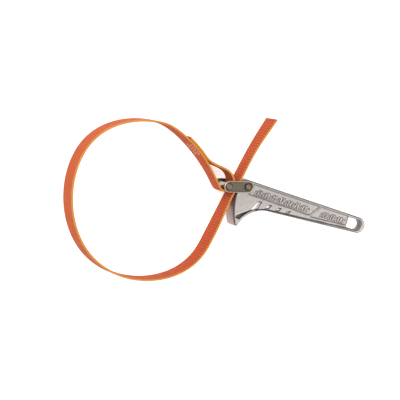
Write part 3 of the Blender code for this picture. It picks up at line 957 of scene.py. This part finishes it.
class SeamOperator(bpy.types.Operator):
    """Sew the lap with rows of short stitches on both of its faces"""

    bl_idname = "strap_wrench.seam"
    bl_label = "Sew Lap"

    def execute(self, context):
        look = context.scene.strap_wrench_webbing
        stitch, stitch_faces = turned([(r * STITCH_RADIUS, z * STITCH_HALF_LENGTH) for r, z in
                                       ((0.3, -1), (0.8, -0.75), (1, 0), (0.8, 0.75), (0.3, 1))], 8)
        points, faces = [], []
        route = main_strand()
        ways = headings(route)
        along = travelled(route)
        lap_face = 3 * HALF_STRAP + TOUCH_GAP
        for row, column in np.ndindex(SEAM_ROWS, SEAM_COLUMNS):
            reach = SEAM_START + SEAM_PITCH * row + SEAM_STAGGER * (column % 2)
            index = int(np.searchsorted(along, reach))
            way, side = ways[index], leftward(ways[index])
            for out in (-HALF_STRAP + STITCH_SINK, lap_face - STITCH_SINK):
                spot = route[index] + side * out
                axes = np.array(((*way, 0), (0, 0, 1), (*side, 0)))
                rise = (column - SEAM_MIDDLE) * SEAM_SPREAD
                shift = lean(spot[None, :])[0] * (rise + look.width / 2)
                place = np.array((spot[0] + shift, spot[1], MID_Z + rise))
                first = len(stitch) * len(points)
                points.append(stitch[:, [2, 1, 0]] @ axes + place)
                faces += [tuple(first + i for i in face) for face in stitch_faces]
        seam = new_piece("lap_seam", np.vstack(points), faces, thread_material(look))
        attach(seam, "strap")
        return {"FINISHED"}


# ---------------------------------------------------------------- casting

def beam_edges(x):
    """Height of the beam's top and bottom edges at a distance from the pivot."""
    reach = sqrt((HANDLE_LENGTH - TIP_RADIUS) ** 2 + TIP_DROP ** 2)
    slope = atan2(-TIP_DROP, HANDLE_LENGTH - TIP_RADIUS) + (TIP_RADIUS - BOSS_RADIUS) / reach
    top = (BOSS_RADIUS + x * sin(slope)) / cos(slope)
    fall = (HANDLE_LENGTH - TIP_RADIUS - x) * tan(BEAM_TAPER)
    return slope, top, -TIP_DROP - TIP_RADIUS / cos(BEAM_TAPER) - fall


def crook_centre():
    """Centre of the hollow curve under the head."""
    return np.array((CROOK_START, beam_edges(CROOK_START)[2] - CROOK_RADIUS))


def crook(offset, start, end, steps):
    """The hollow curve under the head, or a curve inside the casting by an offset."""
    return arc(crook_centre(), CROOK_RADIUS + offset, start, end, steps)


def crook_foot():
    """Angle at which the hollow curve reaches the head's lowest corner."""
    drop = -HEAD_REACH - crook_centre()[1]
    return pi - atan2(drop, sqrt(CROOK_RADIUS ** 2 - drop ** 2))


def casting_outline():
    """Side view of the casting, anticlockwise from the top of the boss."""
    slope = beam_edges(0.0)[0]
    boss = arc(np.zeros(2), BOSS_RADIUS, pi / 2 + slope, BOSS_END, 24)
    face = bowed(FACE_TOP, np.array((FACE_FOOT_X, -HEAD_REACH)), FACE_RADIUS, 40)
    hollow = crook(0.0, crook_foot(), pi / 2, 48)
    centre = np.array((HANDLE_LENGTH - TIP_RADIUS, -TIP_DROP))
    tip = arc(centre, TIP_RADIUS, -pi / 2 + BEAM_TAPER, pi / 2 + slope, 32)
    return np.vstack((boss, [FACE_TOP + FACE_SHOULDER], face, hollow, tip))


def half_thickness(x):
    """Half the casting's thickness at a distance from the pivot."""
    along = (x - FACE_TOP[0]) / (HANDLE_LENGTH - FACE_TOP[0])
    return HEAD_THICKNESS / 2 * (1 + along * (TIP_THICKNESS / HEAD_THICKNESS - 1))


def long_panel(rim):
    """The sunk panel between the boss, the upper rim, the slash and the sloping step."""
    top = [(x, beam_edges(x)[1] - rim) for x in (SLASH_TOP, 0.0070)]
    boss = arc(np.zeros(2), PANEL_ROUND, radians(36), radians(-66), 10)
    foot = (SLASH_FOOT, -PANEL_STEP - PANEL_FALL * SLASH_FOOT)
    return anticlockwise(rounded(np.vstack((top, boss, [foot])), PANEL_CORNER))


def short_panel(rim):
    """The sunk panel between the slash and the hang hole."""
    hole = HANDLE_LENGTH - HANG_HOLE_WALL - HANG_HOLE_LENGTH
    end = hole - 0.0008
    start = SLASH_TOP + SLASH_WIDTH * 1.3
    corners = [(start, beam_edges(start)[1] - rim), SHORT_PANEL_START, (end, SHORT_PANEL_END),
               (end, beam_edges(hole)[1] - rim)]
    return anticlockwise(rounded(corners, PANEL_CORNER))


def hang_hole():
    """A slot with one round end, in line with the beam."""
    end = np.array((HANDLE_LENGTH - HANG_HOLE_WALL - HANG_HOLE_RADIUS, -TIP_DROP))
    back = end[0] - (HANG_HOLE_LENGTH - HANG_HOLE_RADIUS)
    half = np.array((0.0, HANG_HOLE_RADIUS - 0.0004))
    nose = arc(end, HANG_HOLE_RADIUS, -pi / 2, pi / 2, 24)
    corner = np.array((1.0, -1.0)) * HANG_HOLE_CORNER
    corner = corner + arc(np.zeros(2), HANG_HOLE_CORNER, pi / 2, pi, 5)
    high = np.array((back, end[1])) + half + corner
    low = (high - (0.0, end[1])) * (1, -1) + (0.0, end[1])
    return np.vstack((nose, high, low[::-1]))


def pocket():
    """The deep pocket between the head's side and the hollow curve."""
    curve = crook(POCKET_BANK, *POCKET_SPAN, 14)
    return anticlockwise(rounded(np.vstack((POCKET_TOP, curve, POCKET_FOOT)), 0.0008))


def bars(look):
    """Raised slanting bars: a long row before the slash, and a short row beyond it."""
    made = []
    half = look.bar_width / 2
    for start, end, foot_start, foot_end in BAR_ROWS:
        for i in range(int((end - start) / look.bar_pitch) + 1):
            x = start + i * look.bar_pitch
            foot = foot_start + (foot_end - foot_start) * (x - start) / (end - start)
            head = foot + BAR_TALL * (1.0 if i % 3 else BAR_SHORT)
            made.append(rounded([(x - half, foot), (x + half, foot), (x + half + BAR_SLANT, head),
                                 (x - half + BAR_SLANT, head)], look.bar_width / 2.2))
    return made


class Relief:
    """Heights, painted shade, and bright metal, rubbed and highlit, over the casting's plan."""

    def __init__(self, look, outline, hole):
        self.look, self.outline, self.hole = look, outline, hole
        self.panels = [long_panel(look.rim), short_panel(look.rim)]
        self.pocket = pocket()
        self.gusset = anticlockwise(rounded(GUSSET, 0.0007))
        self.notches = [anticlockwise(rounded(notch, 0.0006)) for notch in NOTCHES]
        self.bars = bars(look)
        xs = np.linspace(CROOK_START, LOW_LINE_END, 70)
        along = (xs - CROOK_START) / (xs[-1] - CROOK_START)
        foot = np.array([beam_edges(x)[2] for x in xs])
        lower = np.column_stack((xs, foot + LOW_LINE_OFFSET + LOW_LINE_RISE * along))
        curve = crook(LOW_LINE_OFFSET, radians(118), pi / 2, 30)
        self.low_line = np.vstack((curve[:-1], lower))

    def zones(self):
        """Each sunk outline with its depth, the width of its wall, and where its floor falls."""
        made = [(panel, self.look.panel_depth, PANEL_WALL, None) for panel in self.panels]
        made.append((self.pocket, self.look.pocket_depth, 0.0014, None))
        made.append((self.gusset, GUSSET_DEPTH, 0.0008, GUSSET_FALL))
        made += [(notch, NOTCH_DEPTH, 0.0007, (notch[:, 0].min(), notch[:, 0].max()))
                 for notch in self.notches]
        return made

    def features(self):
        """Points along every wall and line, so that the mesh follows them."""
        made = echoes(spaced(casting_outline(), 0.0005), (0.00012, 0.0004, 0.0008, 0.0012, 0.0017),
                      0.0008)
        made += echoes(self.hole, (-0.0002, -0.0005, -0.0009), 0.0006)
        for zone, _, wall, _ in self.zones():
            made += echoes(spaced(zone, 0.0004), [by * wall for by in (-0.35, 0.0, 0.3, 0.6, 1.0)],
                           0.0006)
        for bar in self.bars:
            made += echoes(spaced(bar, 0.0003), (-0.0002, 0.0, 0.0003), 0.0005)
        made += [self.low_line + leftward(headings(self.low_line)) * by
                 for by in (-0.0009, -0.0005, -0.0002, 0.0, 0.0002, 0.0005, 0.0009)]
        return made

    def lowered(self, plan):
        """Depth of the relief below the flat."""
        depths = [self.look.groove_depth * band(line_distance(plan, self.low_line), 0.0, 0.00045)]
        for zone, fall, wall, slope in self.zones():
            amount = ramp(depth_inside(plan, zone) / wall + 0.2)
            if slope:
                start, end = slope
                amount = amount * (0.30 + 0.70 * ((plan[:, 0] - start) / (end - start)).clip(0, 1))
            depths.append(fall * amount)
        return np.max(depths, axis=0)

    def lifted(self, plan, reach=0.0):
        """Share of the bars' height, on them or within a reach of them."""
        high = np.zeros(len(plan))
        for bar in self.bars:
            near = np.abs(plan - bar.mean(0)).max(1) < 0.008
            if near.any():
                gap = depth_inside(plan[near], bar) + reach
                high[near] = np.maximum(high[near], ramp(gap / 0.0004 + 0.4))
        return high

    def height(self, plan):
        """Height of the front above the middle plane."""
        gap = np.minimum(line_distance(plan, self.outline, closed=True),
                         line_distance(plan, self.hole, closed=True) * 1.8)
        return (half_thickness(plan[:, 0]) - rounding(gap, self.look.edge_radius)
                - self.lowered(plan) + self.lifted(plan) * self.look.bar_height)

    def swollen(self, points, share_up):
        """Side points moved out towards the parting line, where a fine ridge stands."""
        out = self.look.draft * (1 - share_up.clip(0, 1)) + 0.00018 * band(share_up, 0.0, 0.05)
        plan = points[:, :2]
        inward = np.stack([depth_inside(plan + way, self.outline)
                           - depth_inside(plan - way, self.outline)
                           for way in 1e-5 * np.eye(2)], axis=1)
        inward /= np.maximum(np.linalg.norm(inward, axis=1, keepdims=True), 1e-9)
        outer = line_distance(plan, self.outline, closed=True) < ON_WALL
        points = points.copy()
        points[outer, :2] -= (inward * out[:, None])[outer]
        return points

    def shade_and_grime(self, plan):
        """Share of painted shade: along the walls, in the low line, round the bars and in the
        pocket.
        """
        amounts = [band(line_distance(plan, self.low_line), 0.0, 0.00055),
                   band(depth_inside(plan, self.outline), 0.0007, 0.00052)]
        amounts += [0.75 * band(depth_inside(plan, panel), 0.0002, 0.0004)
                    for panel in self.panels]
        for zone in (self.gusset, *self.notches):
            # The painted shade is darker on the right side of the gusset and of each notch.
            dark = np.where(plan[:, 0] > zone.mean(0)[0], 0.85, 0.60)
            amounts.append(dark * band(depth_inside(plan, zone), 0.0002, 0.00036))
        # Painted shade fills the pocket, fading away from the hollow curve.
        bank = np.hypot(*(plan - crook_centre()).T) - CROOK_RADIUS
        shade = 1 - 0.8 * ramp((bank - 0.0046) / 0.0010)
        amounts.append(0.95 * ramp(depth_inside(plan, self.pocket) / 0.0010) * shade)
        # Painted shade in a ring round each bar's foot.
        amounts.append(0.8 * (self.lifted(plan, 0.0005) - self.lifted(plan)))
        return np.max(amounts, axis=0).clip(0, 1)

    def shine(self, plan):
        """Share of bright metal, rubbed and painted as highlights."""
        # Painted highlights on the notch floors and the pocket's edge; rim crests and bar tops
        # rubbed and highlit.
        amounts = [0.45 * band(depth_inside(plan, self.outline), 0.0014, 0.0004),
                   0.8 * band(depth_inside(plan, self.pocket), -0.0004, 0.0004),
                   0.35 * self.lifted(plan)]
        amounts += [0.9 * ramp(depth_inside(plan, zone) / 0.0008 - 0.3)
                    for zone in (self.gusset, *self.notches)]
        return np.max(amounts, axis=0).clip(0, 1)


class HandleOperator(bpy.types.Operator):
    """Build the handle's casting with its rim, panels, bars, notches and pocket"""

    bl_idname = "strap_wrench.handle"
    bl_label = "Build Handle"

    def execute(self, context):
        look = context.scene.strap_wrench_casting
        outline = spaced(casting_outline(), 0.0007)
        hole = spaced(hang_hole(), 0.0006)
        bore = arc(np.zeros(2), BORE_RADIUS, 0.0, 2 * pi, 40)[:-1]
        relief = Relief(look, outline, hole)
        points, faces, count = relief_body(outline, [hole, bore], relief.features(), relief.height,
                                           (0.06, 0.2, 0.36, 0.47, 0.53, 0.64, 0.8, 0.94), 0.0013)
        plan = points[:, :2].copy()
        side = np.arange(len(points)) >= 2 * count
        share_up = np.abs(points[:, 2]) / half_thickness(plan[:, 0])
        points[side] = relief.swollen(points[side], share_up[side])
        turn = Matrix.Rotation(HANDLE_REST, 3, "Z")
        points = points @ np.array(turn).T + np.array((*PIVOT, MID_Z))
        piece = new_piece("handle_casting", points, faces, casting_material(look), radians(50))
        # Painted shade on the hang hole's walls.
        within = 0.6 * (line_distance(plan, hole, closed=True) < ON_WALL)
        stained = (1 - plan[:, 0] / 0.02).clip(0, 1) * 0.6 + 0.1
        paint_points(piece, hollow=np.where(side, within, relief.shade_and_grime(plan)),
                     ridge=np.where(side, 0.0, relief.shine(plan)),
                     side=np.where(side, stained, 0.0))
        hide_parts("handle")
        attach(piece, "handle")
        return {"FINISHED"}


# ---------------------------------------------------------------- link

def obround(reach, radius, steps=20):
    """Outline of a slot shape from the origin to +X by a reach."""
    left = arc(np.zeros(2), radius, pi / 2, 3 * pi / 2, steps)
    right = arc(np.array((reach, 0.0)), radius, -pi / 2, pi / 2, steps)
    return np.vstack((left, right))


class PlatesOperator(bpy.types.Operator):
    """Build both link plates with a raised rim and their pin holes"""

    bl_idname = "strap_wrench.plates"
    bl_label = "Build Link Plates"

    def execute(self, context):
        look = context.scene.strap_wrench_link
        outline = spaced(obround(LINK_PITCH, PLATE_RADIUS), 0.0005)
        inner = spaced(obround(LINK_PITCH, PLATE_RADIUS - look.rim), 0.0005)
        bore = arc(np.zeros(2), STRAP_PIN_RADIUS + TOUCH_GAP, 0.0, 2 * pi, 40)[:-1]
        slot = obround(PIVOT_SLOT_PLAY, PIVOT_PIN_RADIUS + TOUCH_GAP)
        slot = spaced(slot + np.array((LINK_PITCH - PIVOT_SLOT_PLAY, 0.0)), 0.0005)
        features = echoes(outline, (0.0001, 0.0003, 0.0006), 0.0005)
        features += echoes(inner, (-0.0003, -0.0001, 0.0001, 0.0003), 0.0005)
        for hole in (bore, slot):
            features += echoes(hole, (-0.0001, -0.0003), 0.0004)

        def lips(plan):
            """Distance from the nearer hole."""
            return np.minimum(line_distance(plan, bore, True), line_distance(plan, slot, True))

        def height(plan):
            edge = rounding(line_distance(plan, outline, closed=True), look.plate_edge)
            recess = look.recess * ramp(depth_inside(plan, inner) / 0.0005 + 0.4)
            return PLATE_THICKNESS / 2 - edge - recess - 0.00015 * band(lips(plan), 0.0, 0.0003)

        points, faces, count = relief_body(outline, [bore, slot], features, height,
                                           (0.12, 0.5, 0.88), 0.0009)
        rim = depth_inside(points[:, :2], outline)
        # Bright band round the rim, rubbed and partly a painted highlight, fainter on the side
        # walls.
        worn_and_highlit = band(rim, 0.00045, 0.0004)
        worn_and_highlit[2 * count:] = 0.25
        # Painted shade inside the rim and round the pin holes, strongest round the pivot pin.
        round_hole = np.where(points[:, 0] > LINK_PITCH / 2, 1.0, 0.45)
        shade_mask = np.maximum(0.75 * band(rim - look.rim, 0.0003, 0.0004),
                           round_hole * band(lips(points[:, :2]), 0.0, 0.0003))
        shade_mask[2 * count:] = 0.0
        steel = steel_material("link_steel", look.plate, look.worn_and_highlit, look, 0.36,
                               (160.0, 2200.0, 160.0))
        for name in ("front_link_plate", "rear_link_plate"):
            low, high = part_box(name)
            place = np.array((*STRAP_PIN, (low.z + high.z) / 2))
            piece = new_piece(name.replace("link_plate", "link_side"), points + place, faces, steel,
                              radians(50))
            paint_points(piece, ridge=worn_and_highlit, hollow=shade_mask)
            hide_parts(name)
            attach(piece, "links")
        return {"FINISHED"}


class PinsOperator(bpy.types.Operator):
    """Build both pins with rounded, peened ends"""

    bl_idname = "strap_wrench.pins"
    bl_label = "Build Pins"

    def execute(self, context):
        look = context.scene.strap_wrench_link
        head = steel_material("pin_steel", look.pin, look.shaft, look, 0.34,
                              (900.0, 900.0, 300.0))
        half = DEPTH / 2
        for name, radius, spot in (("strap_pin", STRAP_PIN_RADIUS, STRAP_PIN),
                                   ("pivot_pin", PIVOT_PIN_RADIUS, PIVOT)):
            profile = [(reach * radius, half - drop * look.pin_dome) for reach, drop in PEENED_END]
            profile += [(radius, half - PLATE_THICKNESS), (radius, half / 2), (radius, 0.0)]
            profile += [(r, -z) for r, z in profile[:-1][::-1]]
            points, faces = turned(profile, 56)
            piece = new_piece(name.replace("_pin", "_rivet"), points + np.array((*spot, MID_Z)),
                              faces, head, radians(45))
            height = np.abs(points[:, 2])
            # Painted shade in the groove of each pin's peened end.
            ring = band(np.hypot(points[:, 0], points[:, 1]) / radius, 0.74, 0.07)
            paint_points(piece, ridge=((half - PLATE_THICKNESS - height) / 0.0010).clip(0, 1),
                         hollow=0.35 * ring * (height > half - 0.001))
            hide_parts(name)
            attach(piece, "links")
        return {"FINISHED"}


# ---------------------------------------------------------------- stage

def lamp(name, kind, spot, aim, **settings):
    """A lamp that points at a spot."""
    data = bpy.data.lights.new(name, kind)
    for key, value in settings.items():
        setattr(data, key, value)
    made = bpy.data.objects.new(name, data)
    made.location = spot
    made.rotation_mode = "QUATERNION"
    made.rotation_quaternion = (Vector(spot) - Vector(aim)).to_track_quat("Z", "Y")
    bpy.context.scene.collection.objects.link(made)
    return made


class StageOperator(bpy.types.Operator):
    """Set the floor, the studio's light and the camera"""

    bl_idname = "strap_wrench.stage"
    bl_label = "Set Stage"

    def execute(self, context):
        look = context.scene.strap_wrench_stage
        context.scene.view_settings.view_transform = "Standard"
        self.lay_floor(look)
        self.light(context, look)
        self.aim_camera(context, look)
        return {"FINISHED"}

    def lay_floor(self, look):
        """A wide pale floor just under the wrench."""
        level = CAD_BOX[0].z - FLOOR_GAP
        points = [(x * FLOOR_REACH, y * FLOOR_REACH, level)
                  for x, y in ((-1, -1), (1, -1), (1, 1), (-1, 1))]
        floor = new_piece("floor", points, [(0, 1, 2, 3)], floor_material(look))

    def light(self, context, look):
        """Bright above and darker round the horizon, with a large soft lamp overhead."""
        world = bpy.data.worlds.new("studio")
        world.use_nodes = True
        context.scene.world = world
        tree = world.node_tree
        back = tree.nodes["Background"]
        way = tree.nodes.new("ShaderNodeTexCoord")
        split = tree.nodes.new("ShaderNodeSeparateXYZ")
        tree.links.new(way.outputs["Generated"], split.inputs[0])
        strip = tree.nodes.new("ShaderNodeValToRGB")
        fill_ramp(strip.color_ramp, SKY_STOPS)
        tree.links.new(split.outputs["Z"], strip.inputs["Fac"])
        tree.links.new(strip.outputs["Color"], back.inputs["Color"])
        back.inputs["Strength"].default_value = look.sky
        lamp("key", "AREA", (-0.5, 0.45, 1.0), (-0.02, -0.01, 0.0), energy=look.key, size=0.9)
        lamp("fill", "AREA", (0.9, -0.5, 0.7), (0.0, 0.0, 0.0), energy=look.fill, size=0.8)

    def aim_camera(self, context, look):
        """The camera looks down on the wrench from the loop's side."""
        flat = cos(CAMERA_RISE)
        back = Vector((-sin(CAMERA_TURN) * flat, sin(CAMERA_RISE), cos(CAMERA_TURN) * flat))
        up = (Vector((0.0, 1.0, 0.0)) - back * back.y).normalized()
        right = up.cross(back)
        along, aslant = cos(CAMERA_ROLL), sin(CAMERA_ROLL)
        up, right = up * along + right * aslant, right * along - up * aslant
        data = bpy.data.cameras.new("camera")
        data.sensor_width = 36.0
        data.lens = look.lens
        data.clip_end = 20.0
        camera = bpy.data.objects.new("camera", data)
        spot = Vector((*PIVOT, MID_Z + DEPTH / 2)) + back * CAMERA_DISTANCE
        spot += right * CAMERA_ASIDE + up * CAMERA_UP
        aim = Matrix((right, up, back)).transposed().to_4x4()
        camera.matrix_world = Matrix.Translation(spot) @ aim
        context.scene.collection.objects.link(camera)
        context.scene.camera = camera


class StrapWrenchPanel(bpy.types.Panel):
    """Lists the wrench's pieces in the 3D view's sidebar"""

    bl_idname = "VIEW3D_PT_strap_wrench"
    bl_label = "Strap Wrench"
    bl_space_type = "VIEW_3D"
    bl_region_type = "UI"
    bl_category = "Strap Wrench"

    def draw(self, context):
        for operator in OPERATORS:
            self.layout.operator(operator.bl_idname)


SETTINGS = {"webbing": WebbingSettings, "casting": CastingSettings, "link": LinkSettings,
            "stage": StageSettings}
OPERATORS = (StrapOperator, SeamOperator, HandleOperator, PlatesOperator, PinsOperator,
             StageOperator)


def register():
    """Add the settings, the operators and the panel to Blender."""
    for name, group in SETTINGS.items():
        bpy.utils.register_class(group)
        setattr(bpy.types.Scene, "strap_wrench_" + name, bpy.props.PointerProperty(type=group))
    for made in (*OPERATORS, StrapWrenchPanel):
        bpy.utils.register_class(made)


def unregister():
    """Take them out again."""
    for made in (StrapWrenchPanel, *OPERATORS[::-1]):
        bpy.utils.unregister_class(made)
    for name, group in SETTINGS.items():
        delattr(bpy.types.Scene, "strap_wrench_" + name)
        bpy.utils.unregister_class(group)


def main():
    """Build every piece."""
    register()
    for operator in OPERATORS:
        group, name = operator.bl_idname.split(".")
        getattr(getattr(bpy.ops, group), name)()
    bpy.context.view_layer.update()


if __name__ == "__main__":
    main()
